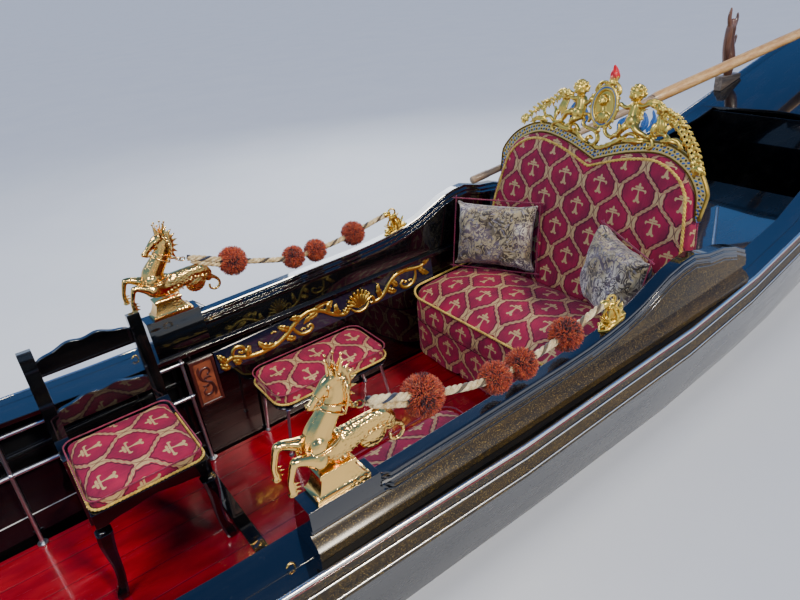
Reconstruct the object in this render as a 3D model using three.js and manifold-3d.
// A black rowing gondola of full size, built as the separate pieces of the real boat, in millimetres.
// +X points to the bow, +Y to port and +Z up. The origin is on the waterline amidships, on the line
// from stem to stern. The hull is wider to port than to starboard, as such boats are.
import * as THREE from 'three';
import { mergeVertices } from 'three/addons/utils/BufferGeometryUtils.js';
import Module from 'manifold-3d';

const wasm = await Module();
wasm.setup();

// Driving dimensions

const gap = 0.3;
const cockpitCentreY = 125;

const hull = {
  endX: 5150,
  endHalfBeam: 45,
  portBeam: 838,
  starboardBeam: 599,
  portBottom: 690,
  starboardBottom: 445,
  planPower: 2.3,
  plank: 20,
  bottomPlank: 22,
  capWidth: 60,
  capThickness: 18,
  bandDepth: 128,
  bandThickness: 22,
  deckThickness: 18,
};

// Columns: x, underside of the bottom, top of the gunwale, share of the full bottom width
const stations = [
  [-5150, 1060, 1420, 0],
  [-4650, 660, 1270, 0.2],
  [-4100, 355, 1100, 0.42],
  [-3500, 125, 897, 0.62],
  [-2800, -45, 666, 0.8],
  [-1900, -150, 500, 0.93],
  [-1400, -182, 454, 0.97],
  [-900, -200, 432, 1],
  [0, -200, 424, 1],
  [900, -200, 432, 1],
  [1400, -182, 454, 0.97],
  [1900, -150, 500, 0.93],
  [2800, -50, 640, 0.79],
  [3600, 100, 800, 0.58],
  [4400, 350, 960, 0.32],
  [5150, 720, 1100, 0],
];

const cockpit = {
  floorZ: -83,
  floorThickness: 20,
  floorHalf: 518,
  floorAft: -1300,
  floorFore: 1950,
  deckInnerHalf: 530,
  wallHalfAtFloor: 530,
  wallHalfAtDeck: 575,
  wallTop: 406,
  wallThickness: 16,
  wallFore: 585,
  foreBulkheadX: 2000,
  sofaBulkheadX: -1352,
  aftBulkheadX: -2950,
  bulkheadThickness: 18,
};

const coaming = { innerHalf: 555, plinthX: [470, 680], plinthHeight: 150 };

const sofa = {
  frontX: -500,
  rearX: -967,
  halfWidth: 545,
  cornerRadius: 120,
  seatBottomZ: 150,
  seatFrontZ: 285,
  seatRearZ: 335,
  rake: Math.atan(0.25),
  backThickness: 62,
};

const colours = {
  lacquer: [0x0b0c10, 0.12, 0],
  redLacquer: [0x7c0a12, 0.15, 0],
  darkRed: [0x3a0d10, 0.3, 0],
  blue: [0x1c2238, 0.4, 0],
  gilt: [0xc79a3a, 0.35, 0.9],
  brass: [0xd9a441, 0.18, 1],
  steel: [0xb9bdc2, 0.25, 1],
  damask: [0x8c1246, 0.8, 0],
  floral: [0x8d8577, 0.85, 0],
  rope: [0xd8c27a, 0.7, 0],
  pompon: [0xd8552a, 0.95, 0],
  walnut: [0x5b3621, 0.4, 0],
  honeyWood: [0xb98446, 0.45, 0],
};

// Helpers

const group = new THREE.Group();

function add(name, geometry, colour, position = [0, 0, 0], rotation = [0, 0, 0]) {
  const [hex, roughness, metalness] = colours[colour];
  const mesh = new THREE.Mesh(geometry, new THREE.MeshStandardMaterial({ color: hex, roughness, metalness }));
  mesh.name = name;
  mesh.position.set(...position);
  mesh.rotation.set(...rotation);
  group.add(mesh);
  return mesh;
}

const mix = (a, b, t) => a + (b - a) * t;

// Value of one table column at x, on straight lines between the rows
function tableAt(table, x, column) {
  const next = Math.min(table.length - 1, Math.max(1, table.findIndex((row) => row[0] >= x)));
  const [a, b] = [table[next - 1], table[next]];
  return mix(a[column], b[column], (x - a[0]) / (b[0] - a[0]));
}

// A closed body through rings of points; every ring has the same number of points
function loft(rings) {
  const count = rings[0].length;
  const faces = [];
  for (let r = 0; r + 1 < rings.length; r += 1) {
    for (let i = 0; i < count; i += 1) {
      const j = (i + 1) % count;
      const [a, b, c, d] = [r * count + i, r * count + j, (r + 1) * count + j, (r + 1) * count + i];
      faces.push([a, b, c], [a, c, d]);
    }
  }
  for (const [ring, start, turned] of [[rings[0], 0, true], [rings.at(-1), (rings.length - 1) * count, false]]) {
    for (const [a, b, c] of capFaces(ring)) {
      faces.push(turned ? [start + a, start + c, start + b] : [start + a, start + b, start + c]);
    }
  }
  return outward(rings.flat(), faces);
}

// Triangles over one ring, turned the same way as the ring's points
function capFaces(ring) {
  const normal = new THREE.Vector3();
  ring.forEach((p, i) => {
    const q = ring[(i + 1) % ring.length];
    normal.x += (p[1] - q[1]) * (p[2] + q[2]);
    normal.y += (p[2] - q[2]) * (p[0] + q[0]);
    normal.z += (p[0] - q[0]) * (p[1] + q[1]);
  });
  const sizes = normal.toArray().map(Math.abs);
  const drop = sizes.indexOf(Math.max(...sizes));
  const [u, v] = [[1, 2], [2, 0], [0, 1]][drop];
  let flat = ring.map((p) => new THREE.Vector2(p[u], p[v]));
  const turned = normal.toArray()[drop] < 0;
  if (turned) flat = flat.map((p) => new THREE.Vector2(-p.x, p.y));
  return THREE.ShapeUtils.triangulateShape(flat, []);
}

function outward(points, faces) {
  let volume = 0;
  for (const face of faces) {
    const [a, b, c] = face.map((i) => new THREE.Vector3(...points[i]));
    volume += a.dot(b.cross(c));
  }
  const index = faces.flatMap(([a, b, c]) => (volume > 0 ? [a, b, c] : [a, c, b]));
  const geometry = new THREE.BufferGeometry();
  geometry.setAttribute('position', new THREE.Float32BufferAttribute(points.flat(), 3));
  geometry.setIndex(index);
  return geometry;
}

function toSolid(source) {
  const bare = source.clone();
  bare.deleteAttribute('normal');
  bare.deleteAttribute('uv');
  const merged = mergeVertices(bare, 1e-3);
  return new wasm.Manifold(new wasm.Mesh({
    numProp: 3,
    vertProperties: new Float32Array(merged.attributes.position.array),
    triVerts: new Uint32Array(merged.index.array),
  }));
}

function fromSolid(solid) {
  const mesh = solid.getMesh();
  const geometry = new THREE.BufferGeometry();
  geometry.setAttribute('position', new THREE.Float32BufferAttribute(mesh.vertProperties, 3));
  geometry.setIndex(Array.from(mesh.triVerts));
  return geometry;
}

function joined(geometries) {
  return fromSolid(geometries.map(toSolid).reduce((whole, piece) => whole.add(piece)));
}

const moved = (geometry, x, y, z) => geometry.clone().translate(x, y, z);

// A box given by its two opposite corners
function box(x0, x1, y0, y1, z0, z1) {
  return moved(new THREE.BoxGeometry(x1 - x0, y1 - y0, z1 - z0), (x0 + x1) / 2, (y0 + y1) / 2, (z0 + z1) / 2);
}

function roundedRectangle(x0, x1, y0, y1, radius) {
  const shape = new THREE.Shape();
  shape.moveTo(x0 + radius, y0);
  shape.lineTo(x1 - radius, y0).absarc(x1 - radius, y0 + radius, radius, -Math.PI / 2, 0);
  shape.lineTo(x1, y1 - radius).absarc(x1 - radius, y1 - radius, radius, 0, Math.PI / 2);
  shape.lineTo(x0 + radius, y1).absarc(x0 + radius, y1 - radius, radius, Math.PI / 2, Math.PI);
  shape.lineTo(x0, y0 + radius).absarc(x0 + radius, y0 + radius, radius, Math.PI, Math.PI * 1.5);
  return shape;
}

// A flat outline raised along Z from z0 to z1, with softened edges where edge is given
function raised(shape, z0, z1, edge = 0, segments = 4) {
  const options = { depth: z1 - z0 - 2 * edge, curveSegments: segments, bevelEnabled: edge > 0 };
  Object.assign(options, { bevelSize: edge, bevelThickness: edge, bevelOffset: -edge, bevelSegments: 2 });
  return new THREE.ExtrudeGeometry(shape, options).translate(0, 0, z0 + edge);
}

// An outline drawn in X and Z, given its thickness along Y about y
function upright(shape, y, thickness, segments = 6) {
  const geometry = new THREE.ExtrudeGeometry(shape, { depth: thickness, curveSegments: segments, bevelEnabled: false });
  return geometry.rotateX(Math.PI / 2).translate(0, y + thickness / 2, 0);
}

// A round bar along points [x, y, z, radius], with flat ends
function bar(points, sides = 8, steps = 4, squash = 1) {
  const curve = new THREE.CatmullRomCurve3(points.map((p) => new THREE.Vector3(p[0], p[1], p[2])));
  const total = points.length === 2 ? 1 : (points.length - 1) * steps;
  const rings = [];
  let side = new THREE.Vector3(0, 1, 0);
  for (let i = 0; i <= total; i += 1) {
    const at = curve.getPoint(i / total);
    const along = curve.getTangent(i / total);
    if (Math.abs(along.dot(side)) > 0.95) side = new THREE.Vector3(1, 0, 0);
    side = side.clone().addScaledVector(along, -side.dot(along)).normalize();
    const up = along.clone().cross(side);
    const place = (i / total) * (points.length - 1);
    const k = Math.min(points.length - 2, Math.floor(place));
    const radius = mix(points[k][3], points[k + 1][3], place - k);
    rings.push(Array.from({ length: sides }, (unused, s) => {
      const angle = (2 * Math.PI * (s + 0.5)) / sides;
      const offset = side.clone().multiplyScalar(radius * squash * Math.cos(angle));
      return at.clone().add(offset).addScaledVector(up, radius * Math.sin(angle)).toArray();
    }));
  }
  return loft(rings);
}

const ball = (x, y, z, radius, sides = 10) => moved(new THREE.SphereGeometry(radius, sides, 6), x, y, z);

// Hull form: half widths are given for side +1 (port) and -1 (starboard)

const beamOf = (side) => (side > 0 ? hull.portBeam : hull.starboardBeam);
const bottomOf = (side) => (side > 0 ? hull.portBottom : hull.starboardBottom);
const keelAt = (x) => tableAt(stations, x, 1);
const sheerAt = (x) => tableAt(stations, x, 2);

function gunwaleHalfExact(x, side) {
  const fullness = 1 - (Math.abs(x) / hull.endX) ** hull.planPower;
  return hull.endHalfBeam + (beamOf(side) - hull.endHalfBeam) * fullness;
}

// Columns: x, gunwale half width to port, to starboard
const planTable = stations.map(([x]) => [x, gunwaleHalfExact(x, 1), gunwaleHalfExact(x, -1)]);
const gunwaleHalf = (x, side) => tableAt(planTable, x, side > 0 ? 1 : 2);

function bottomHalf(x, side) {
  return mix(hull.endHalfBeam - 25, bottomOf(side), tableAt(stations, x, 3));
}

const sideFootZ = (x) => keelAt(x) + hull.bottomPlank + gap;
const sideTopZ = (x) => sheerAt(x) - hull.capThickness - gap;

// Outer face of the side planking: foot, knuckle and top as [half width, z]
function sideLine(x, side) {
  const foot = [bottomHalf(x, side), sideFootZ(x)];
  const top = [gunwaleHalf(x, side) - hull.bandThickness - gap, sideTopZ(x)];
  const bulge = 0.02 * (top[1] - foot[1]) * tableAt(stations, x, 3);
  const knuckle = [mix(foot[0], top[0], 0.42) + bulge, mix(foot[1], top[1], 0.36)];
  return [foot, knuckle, top];
}

// Half width inside the side planking at height z
function insideHalf(x, side, z) {
  const [foot, knuckle, top] = sideLine(x, side);
  const [a, b] = z < knuckle[1] ? [foot, knuckle] : [knuckle, top];
  return mix(a[0], b[0], (z - a[1]) / (b[1] - a[1])) - hull.plank;
}

const stationXs = stations.map(([x]) => x);

// The stations between two places, with the two places themselves
function span(x0, x1) {
  return [x0, ...stationXs.filter((x) => x > x0 + 1 && x < x1 - 1), x1];
}

function bottomPlanking() {
  return loft(stationXs.map((x) => {
    const [port, starboard] = [bottomHalf(x, 1), -bottomHalf(x, -1)];
    const top = keelAt(x) + hull.bottomPlank;
    return [[x, port, keelAt(x)], [x, port, top], [x, starboard, top], [x, starboard, keelAt(x)]];
  }));
}

function sidePlanking(side) {
  return loft(stationXs.map((x) => {
    const line = sideLine(x, side);
    const outer = line.map(([half, z]) => [x, side * half, z]);
    const inner = line.map(([half, z]) => [x, side * (half - hull.plank), z]);
    return [...outer, ...inner.reverse()];
  }));
}

// Gunwale section as [inward from the outer edge, down from the top]
const gunwaleOutline = [
  [0, 0], [0, 38], [6, 46], [6, 52], [3, 58], [3, 112], [0, 118], [0, hull.bandDepth],
  [hull.bandThickness, hull.bandDepth], [hull.bandThickness, hull.capThickness],
  [hull.capWidth, hull.capThickness], [hull.capWidth, 0],
];

function gunwale(side) {
  return loft(stationXs.map((x) => gunwaleOutline.map(([inward, down]) => {
    const narrow = Math.min(inward, gunwaleHalf(x, side) - 4);
    return [x, side * (gunwaleHalf(x, side) - narrow), sheerAt(x) - down];
  })));
}

const deckEdge = (x, side) => gunwaleHalf(x, side) - hull.capWidth - gap;

// A cambered deck from gunwale to gunwale
function crossDeck(x0, x1, camber) {
  return loft(span(x0, x1).map((x) => {
    const [port, starboard] = [Math.max(2, deckEdge(x, 1)), -Math.max(2, deckEdge(x, -1))];
    const crown = (camber * (port - starboard)) / 1200;
    const middle = (port + starboard) / 2;
    const z = sheerAt(x);
    const [low, highLow] = [z - hull.deckThickness, z + crown - hull.deckThickness];
    return [[x, port, z], [x, middle, z + crown], [x, starboard, z],
      [x, starboard, low], [x, middle, highLow], [x, port, low]];
  }));
}

const sideDeckInner = (x, side) => {
  const widest = cockpit.deckInnerHalf + side * cockpitCentreY;
  return Math.min(widest, gunwaleHalf(x, side) - hull.capWidth - 80);
};

function sideDeck(side) {
  return loft(span(cockpit.aftBulkheadX + hull.deckThickness + gap, cockpit.foreBulkheadX).map((x) => {
    const [outer, inner, z] = [side * deckEdge(x, side), side * sideDeckInner(x, side), sheerAt(x)];
    return [[x, outer, z], [x, inner, z], [x, inner, z - hull.deckThickness], [x, outer, z - hull.deckThickness]];
  }));
}

// A plate from side to side that fits inside the planking
function flatBoards(x0, x1, top, thickness, widest = 9999) {
  return loft(span(x0, x1).map((x) => {
    const half = (side, z) => side * Math.min(insideHalf(x, side, z) - 9, widest + side * cockpitCentreY);
    const low = top - thickness;
    return [[x, half(1, top), top], [x, half(1, low), low], [x, half(-1, low), low], [x, half(-1, top), top]];
  }));
}

// An upright wall across the hull, from the bottom planking up to topZ
function bulkhead(x0, topZ) {
  return loft([x0, x0 + cockpit.bulkheadThickness].map((x) => {
    const foot = keelAt(x) + hull.bottomPlank + gap;
    const heights = [foot, mix(foot, topZ, 0.38), topZ];
    const edge = (side) => heights.map((z) => [x, side * (insideHalf(x, side, z) - 6), z]);
    return [...edge(1), ...edge(-1).reverse()];
  }));
}

function hullPieces() {
  add('bottom_planking', bottomPlanking(), 'lacquer');
  for (const [name, side] of [['port', 1], ['starboard', -1]]) {
    add(`side_${name}`, sidePlanking(side), 'lacquer');
    add(`gunwale_${name}`, gunwale(side), 'lacquer');
    add(`side_deck_${name}`, sideDeck(side), 'lacquer');
  }
  add('fore_deck', crossDeck(cockpit.foreBulkheadX + gap, hull.endX, 70), 'lacquer');
  add('aft_deck', crossDeck(-hull.endX, cockpit.aftBulkheadX + hull.deckThickness, 30), 'lacquer');
}

// End posts: outlines in X and Z
const stemLine = [[5150.3, 690], [5215, 760], [5250, 860], [5262, 980], [5262, 1104], [5150.3, 1104]];
const sternLine = [[-5150.3, 1020], [-5240, 1140], [-5330, 1300], [-5395, 1450], [-5372, 1496], [-5250, 1464],
  [-5150.3, 1424]];

function endPosts() {
  const outline = (points) => new THREE.Shape(points.map((p) => new THREE.Vector2(...p)));
  add('stem_post', upright(outline(stemLine), 0, 74), 'lacquer');
  add('stern_post', upright(outline(sternLine), 0, 74), 'lacquer');
}

// Cockpit

const joist = { width: 60, y: [-390, 600] };
const batten = { x: [630, 680], y: [-395, 645], thickness: 12 };
const sofaBulkheadTop = 380;
const rearBoards = { aftX: -2500, topZ: 400, thickness: 19.7 };

function floorBoards() {
  const { floorAft, floorFore, floorZ, floorThickness, floorHalf } = cockpit;
  const slab = flatBoards(floorAft, floorFore, floorZ, floorThickness, floorHalf);
  const joists = [-1250, -700, -150, 400, 860].map((x) => {
    const foot = Math.max(keelAt(x), keelAt(x + joist.width)) + hull.bottomPlank + gap;
    return box(x, x + joist.width, ...joist.y, foot, cockpit.floorZ - cockpit.floorThickness / 2);
  });
  return joined([slab, ...joists]);
}

function cockpitPieces() {
  const underDeck = (x) => Math.min(sheerAt(x), sheerAt(x + cockpit.bulkheadThickness)) - hull.deckThickness - gap;
  add('floorboards', floorBoards(), 'redLacquer');
  const battenTop = cockpit.floorZ + batten.thickness;
  add('floor_batten', box(...batten.x, ...batten.y, cockpit.floorZ + gap, battenTop), 'lacquer');
  add('fore_bulkhead', bulkhead(cockpit.foreBulkheadX, underDeck(cockpit.foreBulkheadX)), 'lacquer');
  add('sofa_bulkhead', bulkhead(cockpit.sofaBulkheadX, sofaBulkheadTop), 'lacquer');
  add('aft_bulkhead', bulkhead(cockpit.aftBulkheadX, underDeck(cockpit.aftBulkheadX)), 'lacquer');
  const boardsFore = cockpit.sofaBulkheadX + cockpit.bulkheadThickness;
  const boards = flatBoards(rearBoards.aftX, boardsFore, rearBoards.topZ, rearBoards.thickness);
  add('rear_boards', boards, 'lacquer');
}

// Coaming top above the deck along its length; columns: x, height
const coamingLine = [
  [-1330, 135], [-1250, 175], [-1150, 211], [-1050, 227], [-950, 259], [-880, 257], [-800, 240],
  [-720, 208], [-650, 180], [-570, 160], [-480, 146], [-380, 136], [-250, 130], [0, 127], [200, 121],
  [430, 115], [680, 115],
];

// Coaming section for a given height, as [outward from the inner face, up from the deck]
function coamingOutline(height) {
  return [[0, 0], [113, 0], [113, 24], [100, 40], [86, 48], [76, 58], [76, 62], [90, 70],
    [90, height - 40], [86, height - 30], [86, height - 20], [80, height - 14], [80, height - 3],
    [76, height], [36, height], [34, height - 3], [34, height - 12], [22, height - 20],
    [22, height - 28], [10, height - 34], [10, height - 44], [15, height - 50]];
}

// Section of the higher plinth under the sea horse, in the same two directions
const plinthOutline = [
  [-10, 0], [113, 0], [113, 26], [98, 38], [84, 45], [71, 57], [76, 72], [97, 92], [97, 140],
  [94, coaming.plinthHeight], [21, coaming.plinthHeight], [14, 120], [0, 79], [-10, 8],
];

function coamingRail(side) {
  const inner = coaming.innerHalf + side * cockpitCentreY;
  const ring = (x, outline) => outline.map(([outward, up]) => {
    return [x, side * (inner + outward), sheerAt(x) + gap + up];
  });
  const rail = loft(coamingLine.map(([x, height]) => ring(x, coamingOutline(height))));
  const plinth = loft(coaming.plinthX.map((x) => ring(x, plinthOutline)));
  return joined([rail, plinth]);
}

// Half width of the cockpit inside its leaning wall at height z
const wallHalf = (z) => {
  const rise = (z - cockpit.floorZ) / (cockpit.wallTop - cockpit.floorZ);
  return mix(cockpit.wallHalfAtFloor, cockpit.wallHalfAtDeck, rise);
};

function innerWall(side) {
  const foot = cockpit.floorZ - cockpit.floorThickness;
  const low = wallHalf(foot) + side * cockpitCentreY;
  return loft([cockpit.floorAft, -900, 0, cockpit.wallFore].map((x) => {
    const top = sheerAt(x) - hull.deckThickness - gap;
    const high = wallHalf(top) + side * cockpitCentreY;
    return [[x, side * low, foot], [x, side * high, top],
      [x, side * (high + cockpit.wallThickness), top], [x, side * (low + cockpit.wallThickness), foot]];
  }));
}

// Columns: name, aft end, fore end, lower edge, upper edge, thickness, colour
const wallPanels = [
  ['scroll_panel', -690, 470, 262, 385, 9, 'blue'],
  ['wall_tile', 474, 580, 150, 365, 14, 'darkRed'],
];

// A panel lying on the inner wall; rings run from its lower to its upper edge
function wallPanel(side, x0, x1, z0, z1, thickness) {
  return loft([z0, z1].map((z) => {
    const y = wallHalf(z) + side * cockpitCentreY - gap;
    return [[x0, side * y, z], [x1, side * y, z],
      [x1, side * (y - thickness), z], [x0, side * (y - thickness), z]];
  }));
}

const rods = { heights: [370, 220], radius: 9, postRadius: 8, postX: [600, 1270], aftX: 590, bendX: 1250 };
const rodPostTop = 406;

// Two rods along the side, on posts that lean out from the floor to the deck
function guardRods(side) {
  const [footHalf, topHalf] = [504, 578];
  const rise = (z) => (z - cockpit.floorZ) / (rodPostTop - cockpit.floorZ);
  const y = (z) => side * (mix(footHalf, topHalf, rise(z)) + side * cockpitCentreY);
  const foreX = cockpit.foreBulkheadX - 1.2;
  const bars = rods.heights.map((z) => bar([
    [rods.aftX, y(z), z, rods.radius], [rods.bendX, y(z), z, rods.radius],
    [foreX, y(z) - side * 50, z, rods.radius],
  ]));
  const posts = rods.postX.map((x) => {
    const [foot, top] = [cockpit.floorZ + 1.5, sheerAt(x) - hull.deckThickness - 1.5];
    return bar([[x, y(cockpit.floorZ), foot, rods.postRadius], [x, y(top), top, rods.postRadius]]);
  });
  return joined([...bars, ...posts]);
}

function wallPieces() {
  for (const [name, side] of [['port', 1], ['starboard', -1]]) {
    add(`coaming_${name}`, coamingRail(side), 'lacquer');
    add(`inner_wall_${name}`, innerWall(side), 'lacquer');
    for (const [label, x0, x1, z0, z1, thickness, colour] of wallPanels) {
      add(`${label}_${name}`, wallPanel(side, x0, x1, z0, z1, thickness), colour);
    }
    add(`guard_rods_${name}`, guardRods(side), 'steel');
  }
}

// Sofa

function sofaPlan(inset) {
  const [y0, y1] = [cockpitCentreY - sofa.halfWidth + inset, cockpitCentreY + sofa.halfWidth - inset];
  const [front, rear, r] = [sofa.frontX - inset, sofa.rearX, sofa.cornerRadius];
  const shape = new THREE.Shape();
  shape.moveTo(rear, y0);
  shape.lineTo(front - r, y0).absarc(front - r, y0 + r, r, -Math.PI / 2, 0);
  shape.lineTo(front, y1 - r).absarc(front - r, y1 - r, r, 0, Math.PI / 2);
  shape.lineTo(rear, y1);
  return shape;
}

// Back outline as [across, up the slope from the seat board]; one half, from the foot to the dip
const backLine = [
  [522, 0], [522, 318], [538, 335], [530, 480], [505, 620], [478, 715], [410, 785], [300, 822], [150, 800], [0, 748],
];

function backOutline(points) {
  const left = points.filter(([across]) => across > 0).map(([across, up]) => [-across, up]).reverse();
  return new THREE.Shape([...points, ...left].map((p) => new THREE.Vector2(...p)));
}

// Drawn in [across, up] and leaned back on the rake of the sofa
function leaned(geometry, lift = 0) {
  const footX = -1000 + 0.25 * (280 - sofa.seatBottomZ);
  return geometry.clone()
    .applyMatrix4(new THREE.Matrix4().makeBasis(
      new THREE.Vector3(0, 1, 0), new THREE.Vector3(0, 0, 1), new THREE.Vector3(1, 0, 0)))
    .translate(-sofa.backThickness, 0, 0)
    .rotateY(-sofa.rake)
    .translate(footX, cockpitCentreY, sofa.seatBottomZ + lift);
}

function sofaCrest() {
  const top = backLine.slice(4);
  const outer = top.map(([across, up]) => [across * 1.0 + 14, up + 52]);
  const inner = top.map(([across, up]) => [across, up + gap * 2]);
  const half = [...outer.slice(0, -1), [0, outer.at(-1)[1]]];
  const mirrored = half.slice(0, -1).map(([across, up]) => [-across, up]).reverse();
  const lower = inner.map(([across, up]) => [-across, up]);
  const lowerMirrored = inner.slice(0, -1).map(([across, up]) => [across, up]).reverse();
  const ring = [...half, ...mirrored, ...lower, ...lowerMirrored];
  const shape = new THREE.Shape(ring.map((p) => new THREE.Vector2(...p)));
  const band = new THREE.ExtrudeGeometry(shape, { depth: 40, bevelEnabled: false }).translate(0, 0, 10);
  const medallion = new THREE.CylinderGeometry(52, 52, 34, 20).rotateX(Math.PI / 2).scale(1, 1.5, 1)
    .translate(0, 865, 30);
  const figures = [-1, 1].flatMap((side) => [
    new THREE.SphereGeometry(46, 10, 8).scale(1, 1.25, 0.7).translate(side * 118, 858, 30),
    new THREE.SphereGeometry(30, 10, 8).translate(side * 140, 930, 32),
  ]);
  const finial = new THREE.CylinderGeometry(8, 34, 120, 8).translate(0, 985, 30);
  return [band, medallion, ...figures, finial];
}

// Seat cushion whose top rises from the front edge to the back
function sofaSeat() {
  const geometry = raised(sofaPlan(0), sofa.seatBottomZ, sofa.seatFrontZ);
  const position = geometry.attributes.position;
  for (let i = 0; i < position.count; i += 1) {
    const back = (sofa.frontX - position.getX(i)) / (sofa.frontX - sofa.rearX);
    if (position.getZ(i) > sofa.seatBottomZ + 1) position.setZ(i, mix(sofa.seatFrontZ, sofa.seatRearZ, back));
  }
  return geometry;
}

const pillow = { width: 420, height: 340, thickness: 120, x: -911, z: 504.4, fromCentre: 335, lean: 0.24, turn: 0.5 };

function pillowShape(side) {
  const { width, height, thickness, lean, turn } = pillow;
  const outline = roundedRectangle(-height / 2, height / 2, -width / 2, width / 2, 50);
  const flat = raised(outline, -thickness / 2, thickness / 2, 42, 3);
  return flat.rotateY(Math.PI / 2 - lean).rotateZ(-side * turn);
}

function sofaPieces() {
  add('sofa_base', raised(sofaPlan(20), cockpit.floorZ + gap, sofa.seatBottomZ - gap), 'damask');
  add('sofa_seat', sofaSeat(), 'damask');
  const back = new THREE.ExtrudeGeometry(backOutline(backLine), { depth: sofa.backThickness, bevelEnabled: false });
  add('sofa_back', leaned(back), 'damask');
  add('sofa_crest', leaned(joined(sofaCrest())), 'gilt');
  for (const [name, side] of [['port', 1], ['starboard', -1]]) {
    add(`pillow_${name}`, pillowShape(side), 'floral', [pillow.x, cockpitCentreY + side * pillow.fromCentre, pillow.z]);
  }
}

// Benches along both sides

const bench = { aftX: -193, foreX: 353, depth: 279, fromCentre: 542, topZ: 240, cushion: 60, board: 30 };
// Columns: name, side, how far the bench stands forward of the table's x, and inward
const benchPlaces = [['port', 1, 75, 55], ['starboard', -1, 0, 0]];
// Columns: x at the top and at the foot, distance in from the outer edge
const benchFeet = [[-150, -190, 30], [310, 335, 30], [-150, -190, 250], [310, 335, 250]];

function benchPieces() {
  const underCushion = bench.topZ - bench.cushion;
  for (const [name, side, forward, inward] of benchPlaces) {
    const y = (fromEdge) => cockpitCentreY + side * (bench.fromCentre - inward - fromEdge);
    const [y0, y1] = [y(0), y(bench.depth)].sort((a, b) => a - b);
    const [x0, x1] = [bench.aftX + forward, bench.foreX + forward];
    const cushion = raised(roundedRectangle(x0, x1, y0, y1, 60), underCushion, bench.topZ, 12, 3);
    add(`bench_cushion_${name}`, cushion, 'damask');
    const board = roundedRectangle(x0 + 8, x1 - 8, y0 + 8, y1 - 8, 55);
    const frame = raised(board, underCushion - bench.board, underCushion - gap, 0, 3);
    const feet = benchFeet.map(([topX, footX, fromEdge]) => bar([
      [footX + forward, y(fromEdge), cockpit.floorZ + 1.7, 8], [topX + forward, y(fromEdge), 155, 9],
    ]));
    add(`bench_frame_${name}`, joined([frame, ...feet]), 'lacquer');
  }
}

// Chair on the starboard side, facing port

const chair = { x0: 712, x1: 1090, y0: -356, y1: 57, seatZ: 338, cushion: 50 };

function chairPieces() {
  const { x0, x1, y0, y1, seatZ } = chair;
  const seatUnder = seatZ - chair.cushion;
  const seat = raised(roundedRectangle(x0 - 8, x1 + 8, y0 - 4, y1 + 10, 35), seatUnder - 62, seatUnder - gap, 0, 3);
  const legs = [[x0 + 22, y1 - 18, 1], [x1 - 22, y1 - 18, 1], [x0 + 22, y0 + 22, -1], [x1 - 22, y0 + 22, -1]];
  const legBars = legs.map(([x, y, way]) => bar([
    [x, y + way * 22, cockpit.floorZ + 3.7, 18], [x, y + way * 6, 0, 13], [x, y + way * 2, 110, 17],
    [x, y, seatUnder - 40, 26],
  ], 6, 3));
  const stiles = [x0 + 12, x1 - 12].map((x) => bar([
    [x, y0 + 40, seatUnder - 30, 17], [x, y0 + 6, seatUnder + 60, 16], [x, y0 - 17, 470, 14], [x, y0 - 42, 670, 13],
  ], 6, 3));
  // Columns: height of a back rail's middle, and how far the back leans there
  const rails = [[610, -34], [460, -15]].map(([z, lean]) => {
    return box(x0 + 8, x1 - 8, y0 + lean - 8, y0 + lean + 8, z - 24, z + 24);
  });
  add('chair_frame', joined([seat, ...legBars, ...stiles, ...rails]), 'lacquer');
  const cushion = raised(roundedRectangle(x0, x1, y0 + 36, y1, 40), seatUnder, seatZ, 12, 3);
  add('chair_cushion', cushion, 'damask');
}

// Brass sea horses on the coaming, facing the bow

const horseX = 550;

function seaHorse() {
  // Columns: height, aft end, fore end, half width
  const pedestalRows = [[0, -56, 98, 35], [10, -56, 98, 35], [16, -46, 90, 31], [58, -22, 76, 24], [66, -24, 78, 25]];
  const pedestal = loft(pedestalRows.map(([z, aft, fore, across]) => {
    return [[aft, -across, z], [fore, -across, z], [fore, across, z], [aft, across, z]];
  }));
  const body = bar([
    [16, 0, 50, 30], [32, 0, 95, 34], [36, 0, 130, 34], [24, 0, 175, 30], [0, 0, 215, 27], [-20, 0, 255, 26],
    [-22, 0, 292, 20],
  ], 10, 3, 0.8);
  const head = bar([[-24, 0, 290, 20], [14, 0, 288, 19], [42, 0, 272, 13], [60, 0, 261, 10]], 8, 3, 0.8);
  const tail = bar([
    [22, 0, 85, 30], [-30, 0, 94, 32], [-80, 0, 110, 32], [-125, 0, 122, 26], [-160, 0, 112, 20], [-186, 0, 80, 14],
    [-181, 0, 48, 9], [-160, 0, 38, 7], [-140, 0, 50, 6],
  ], 8, 3, 0.9);
  const crown = new THREE.CylinderGeometry(22, 15, 70, 8).rotateX(Math.PI / 2).translate(-22, 0, 330);
  const legs = [-1, 1].map((side) => bar([
    [42, side * 16, 115, 18], [92, side * 26, 148, 13], [140, side * 26, 164, 10], [158, side * 26, 132, 8],
    [156, side * 26, 98, 8], [136, side * 26, 64, 8],
  ], 6, 3));
  const ring = new THREE.TorusGeometry(13, 4, 6, 14).rotateX(Math.PI / 2).translate(-71, 0, 196);
  const stalk = bar([[0, 0, 216, 6], [-60, 0, 199, 5]], 6);
  return joined([pedestal, body, head, tail, crown, ...legs, ring, stalk]);
}

// Cords from the sea horses to the knobs: route and pompons as x and z above the coaming line

const cord = { radius: 12.5, fromCentre: 607, sides: 10 };
const cordRoute = [
  [458, 774], [430, 764], [400, 752], [350, 730], [297, 706], [240, 684], [190, 668], [145, 654],
  [100, 641], [58, 632], [15, 626], [-40, 622], [-95, 622], [-150, 624], [-200, 628], [-285, 638],
  [-345, 649], [-400, 659], [-476, 671],
];
// Columns: x along the cord, outer radius, play of the hole round the bent cord
const pompons = [[290, 62, 2.6], [20, 53, 2.5], [-90, 53, 2], [-280, 58, 2.4]];

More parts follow.
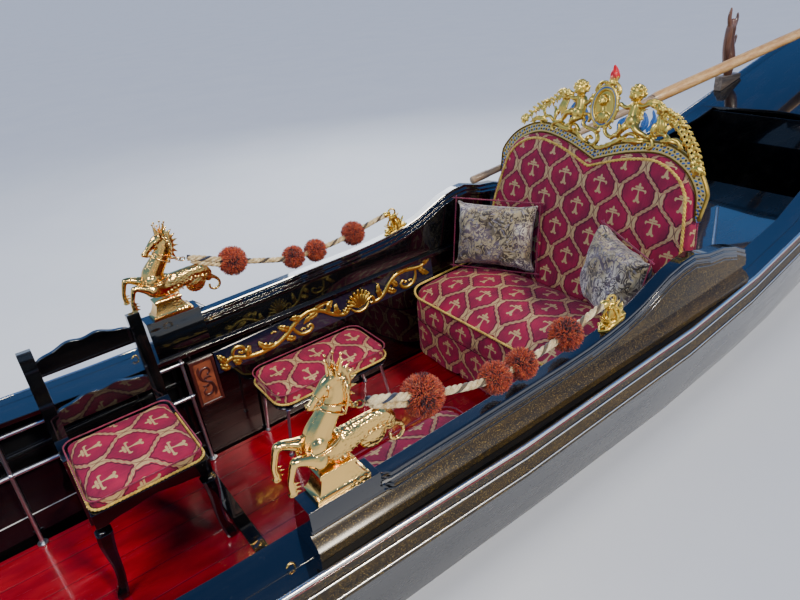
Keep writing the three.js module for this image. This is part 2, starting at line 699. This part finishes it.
function cordCurve(y) {
  return new THREE.CatmullRomCurve3(cordRoute.map(([x, z]) => new THREE.Vector3(x, y, z)));
}

function cordTube(y) {
  const section = new THREE.Shape();
  for (let i = 0; i < cord.sides; i += 1) {
    const angle = (2 * Math.PI * i) / cord.sides;
    const point = [cord.radius * Math.cos(angle), cord.radius * Math.sin(angle)];
    if (i === 0) section.moveTo(...point);
    else section.lineTo(...point);
  }
  section.closePath();
  return new THREE.ExtrudeGeometry(section, { steps: 34, bevelEnabled: false, extrudePath: cordCurve(y) });
}

// A ball with a round hole along its axis
function pompon(radius, play) {
  const hole = cord.radius + play;
  const reach = Math.sqrt(radius ** 2 - hole ** 2);
  const profile = [];
  for (let i = 0; i <= 6; i += 1) {
    const angle = mix(-1, 1, i / 6) * Math.acos(hole / radius);
    profile.push(new THREE.Vector2(radius * Math.cos(angle), radius * Math.sin(angle)));
  }
  profile.push(new THREE.Vector2(hole, -reach));
  return new THREE.LatheGeometry(profile, 14);
}

const knobPlace = { x: -522, halfBase: 34, halfWidth: 19 };

function knob() {
  const { halfBase, halfWidth } = knobPlace;
  const foot = box(-halfBase, halfBase, -halfWidth, halfWidth, 0, 18);
  const stalk = new THREE.CylinderGeometry(18, 26, 60, 10).rotateX(Math.PI / 2).translate(0, 0, 45);
  return joined([foot, stalk, ball(0, 0, 94, 30)]);
}

function cordPieces() {
  const railTop = (x) => sheerAt(x) + gap + tableAt(coamingLine, x, 1);
  const [fore, aft] = [1, -1].map((way) => railTop(knobPlace.x + way * knobPlace.halfBase));
  const slope = Math.atan2(aft - fore, 2 * knobPlace.halfBase);
  const knobZ = (fore + aft) / 2 + 2 * gap;
  const horseZ = sheerAt(coaming.plinthX[1]) + coaming.plinthHeight + 2 * gap;
  for (const [name, side] of [['port', 1], ['starboard', -1]]) {
    const y = cockpitCentreY + side * cord.fromCentre;
    add(`sea_horse_${name}`, seaHorse(), 'brass', [horseX, y, horseZ]);
    add(`cord_knob_${name}`, knob(), 'gilt', [knobPlace.x, y, knobZ], [0, slope, 0]);
    add(`cord_${name}`, cordTube(y), 'rope');
    const curve = cordCurve(y);
    pompons.forEach(([x, radius, play], i) => {
      const t = parameterAt(curve, x);
      const along = curve.getTangent(t);
      const mesh = add(`pompon_${name}_${i + 1}`, pompon(radius, play), 'pompon', curve.getPoint(t).toArray());
      mesh.quaternion.setFromUnitVectors(new THREE.Vector3(0, 1, 0), along);
    });
  }
}

// Place along a curve where it passes a given x
function parameterAt(curve, x) {
  let [low, high] = [0, 1];
  for (let i = 0; i < 30; i += 1) {
    const middle = (low + high) / 2;
    if (curve.getPoint(middle).x > x) low = middle;
    else high = middle;
  }
  return low;
}

// Bow iron: a blade on the stem with six teeth forward and one aft

const bowIron = { thickness: 12, frontX: 5262 };

// Blade outline: up the face of the stem, round the broad head and down again
function bowIronOutline() {
  const x = bowIron.frontX + gap;
  const shape = new THREE.Shape();
  shape.moveTo(x - 47, 760);
  shape.lineTo(x - 12, 860).lineTo(x, 980).lineTo(x, 1120);
  shape.splineThru([[x + 2, 1230], [x - 14, 1340], [x - 80, 1392], [x - 142, 1440], [x - 112, 1512], [x + 6, 1532],
    [x + 104, 1474], [x + 118, 1384], [x + 66, 1290], [x + 38, 1180]].map((p) => new THREE.Vector2(...p)));
  shape.lineTo(x + 36, 980).lineTo(x + 24, 850).lineTo(x - 10, 744);
  return shape;
}

function bowIronPiece() {
  const x = bowIron.frontX + gap;
  const half = bowIron.thickness / 2;
  const teeth = [0, 1, 2, 3, 4, 5].map((i) => {
    const low = 960 + i * 58;
    return box(x + 20, x + 150, -half, half, low, low + 38);
  });
  const back = box(x - 120, x + 10, -half, half, 1140, 1180);
  return joined([upright(bowIronOutline(), 0, bowIron.thickness, 3), ...teeth, back]);
}

// Oarlock with its block on the starboard gunwale, and the oar

const forcola = { x: -3200, block: [-3290, -3110] };

function oarlockPieces() {
  const [x0, x1] = forcola.block;
  const middle = (x) => -(gunwaleHalf(x, -1) - hull.capWidth / 2);
  const y1 = middle(forcola.x);
  const top = Math.max(sheerAt(x0), sheerAt(x1));
  const block = loft([x0, x1].map((x) => {
    const z = sheerAt(x) + gap;
    const [y0, y2] = [middle(x) - 26, middle(x) + 26];
    return [[x, y2, z], [x, y0, z], [x, y0, top + 30], [x, y2, top + 30]];
  }));
  add('oarlock_block', block, 'walnut');
  // Columns: along the boat and up from the gunwale, and the radius there
  const postLine = [[0, 30.5, 42], [0, 60, 42], [10, 130, 46], [30, 240, 34], [10, 340, 30], [-20, 430, 26]];
  const prongLine = [[25, 250, 26], [80, 270, 20], [95, 320, 14]];
  const placed = (line) => line.map(([along, up, radius]) => [forcola.x + along, y1, top + up, radius]);
  const post = bar(placed(postLine), 8, 3, 0.6);
  const prong = bar(placed(prongLine), 8, 3, 0.7);
  add('oarlock', joined([post, prong]), 'walnut');
}

function oarPiece() {
  const handle = new THREE.Vector3(-1000, -470, 698);
  const blade = new THREE.Vector3(-5000, 250, 1388);
  const along = blade.clone().sub(handle).normalize();
  const across = new THREE.Vector3(0, 0, 1).cross(along).normalize();
  const up = along.clone().cross(across);
  // Columns: distance from the handle end, half width, half thickness
  const sections = [
    [0, 20, 20], [1150, 21, 21], [1300, 34, 32], [2300, 33, 28], [2700, 50, 18], [3300, 72, 12], [4100, 78, 9],
  ];
  return loft(sections.map(([distance, half, thick]) => Array.from({ length: 10 }, (unused, i) => {
    const angle = (2 * Math.PI * i) / 10;
    return handle.clone().addScaledVector(along, distance)
      .addScaledVector(across, half * Math.cos(angle)).addScaledVector(up, thick * Math.sin(angle)).toArray();
  })));
}

hullPieces();
endPosts();
cockpitPieces();
wallPieces();
sofaPieces();
benchPieces();
chairPieces();
cordPieces();
add('bow_iron', bowIronPiece(), 'steel');
oarlockPieces();
add('oar', oarPiece(), 'honeyWood');

export default group;
